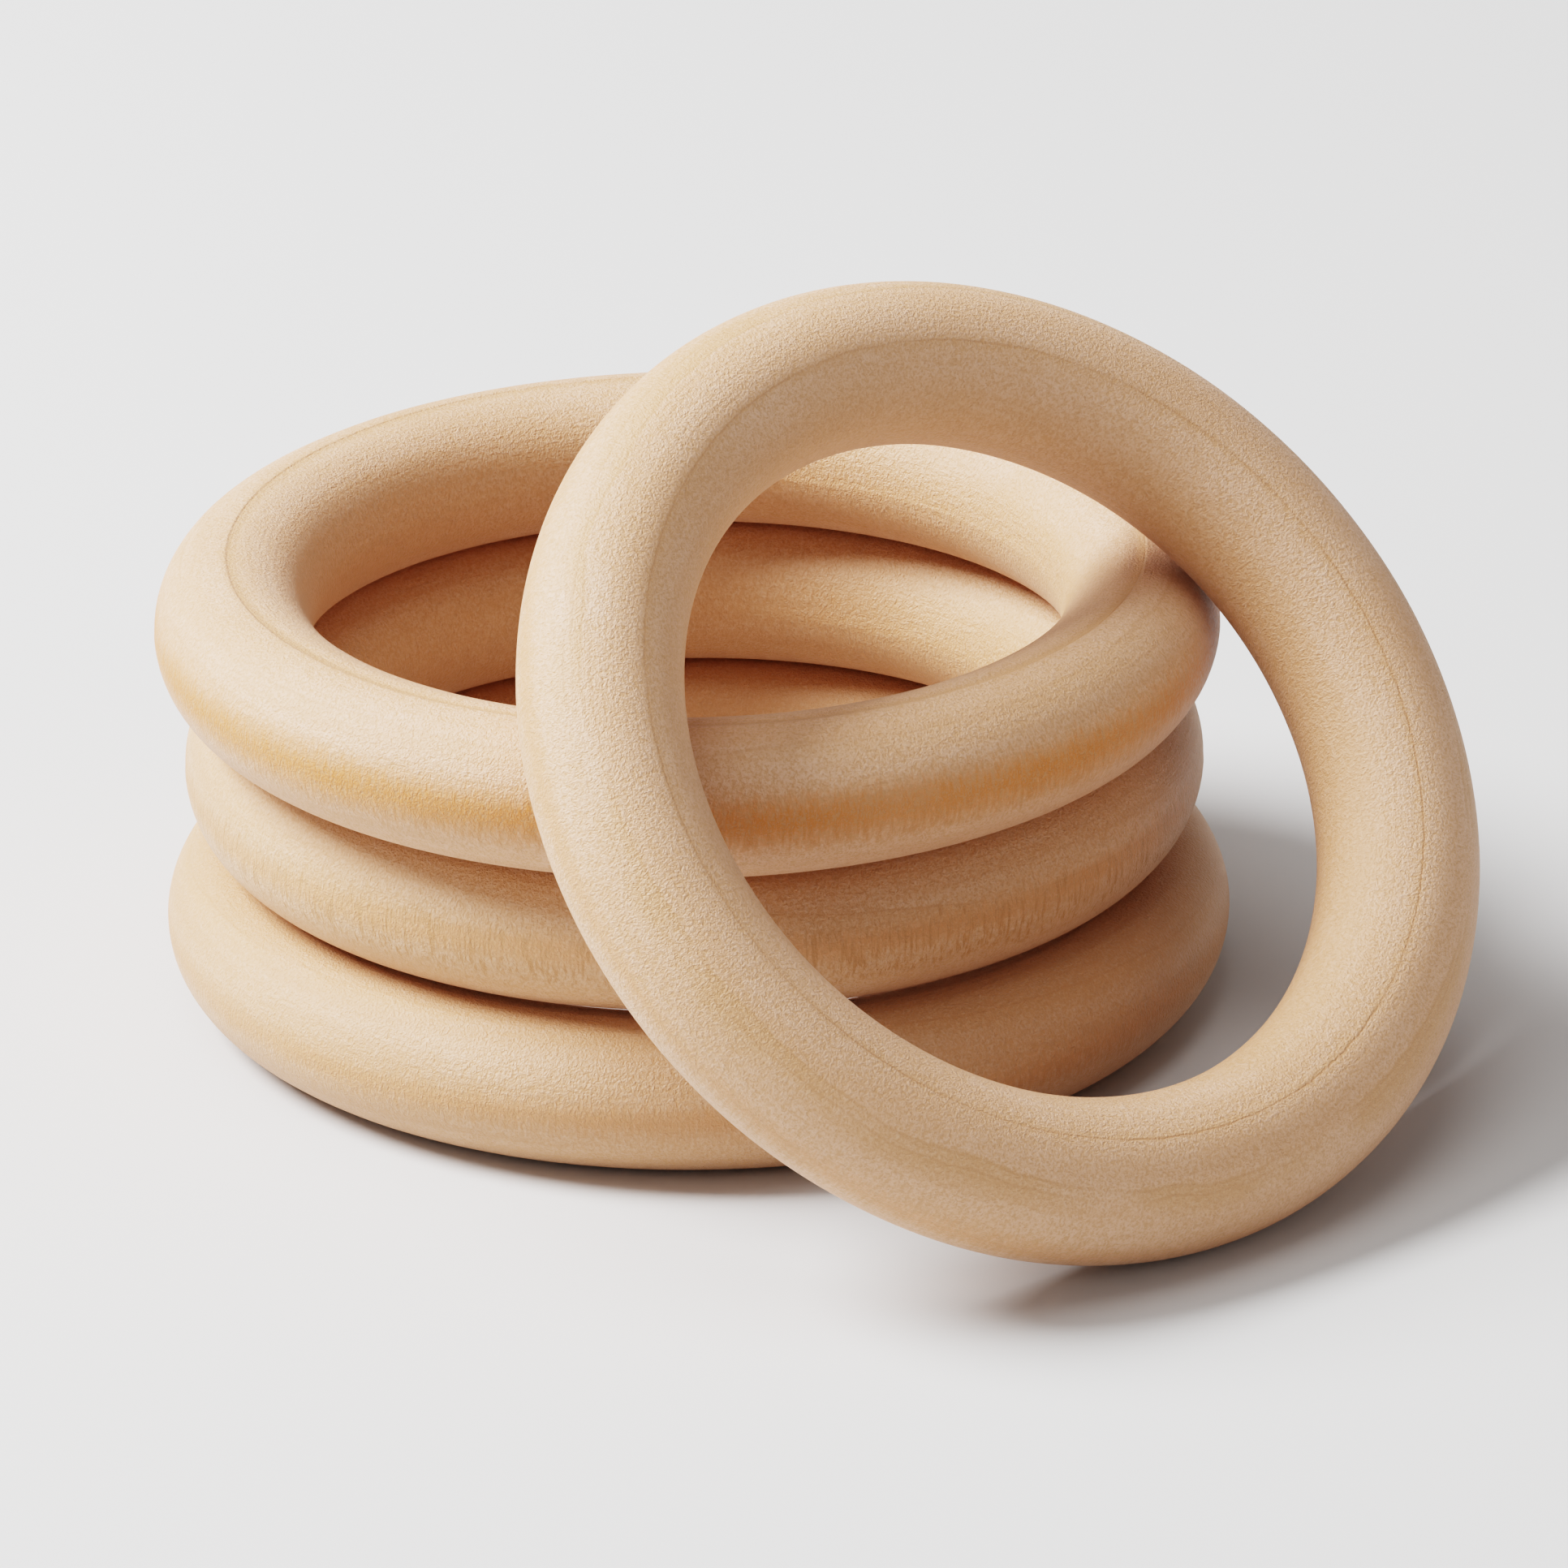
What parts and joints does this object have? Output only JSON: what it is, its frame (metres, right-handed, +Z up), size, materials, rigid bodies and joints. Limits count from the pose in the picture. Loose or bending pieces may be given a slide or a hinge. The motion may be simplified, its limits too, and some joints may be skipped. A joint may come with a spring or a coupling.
{
  "type": "wooden gymnastics rings",
  "caption": "Plain lathe-turned wooden gymnastics rings with a round grip section, stacked flat on each other, and a loose one leaning on the stack.",
  "frame": {"origin": "on the floor, at the middle of the footprint of all four rings", "axes": "+Z up; +Y away from the viewer, with the stack at the back left and the leaning ring at the front right; +X to the right"},
  "size_m": [0.2192, 0.2302, 0.1318],
  "materials": {
    "bottom_wood": "fine-sanded, unvarnished pale hardwood, satin",
    "middle_wood": "fine-sanded, unvarnished pale hardwood with short brown ray dashes, satin",
    "top_wood": "fine-sanded, unvarnished pale hardwood, satin",
    "leaning_wood": "fine-sanded, unvarnished pale hardwood, satin"
  },
  "bodies": {
    "bottom_ring": {"bottom_ring": "bottom_wood"},
    "middle_ring": {"middle_ring": "middle_wood"},
    "top_ring": {"top_ring": "top_wood"},
    "leaning_ring": {"leaning_ring": "leaning_wood"}
  },
  "joints": [
    {"name": "middle_lift", "type": "slide", "parent": "bottom_ring", "child": "middle_ring", "axis": [-0.5746, 0.7435, 0.342], "range_m": [0, 0.12]},
    {"name": "top_lift", "type": "slide", "parent": "middle_ring", "child": "top_ring", "axis": [-0.5746, 0.7435, 0.342], "range_m": [0, 0.12]},
    {"name": "leaning_tip", "type": "hinge", "parent": "bottom_ring", "child": "leaning_ring", "pos_m": [0.06168, -0.08181, 0.0135], "axis": [0.7912, 0.6115, 0], "range_deg": [0, 133.8]}
  ]
}
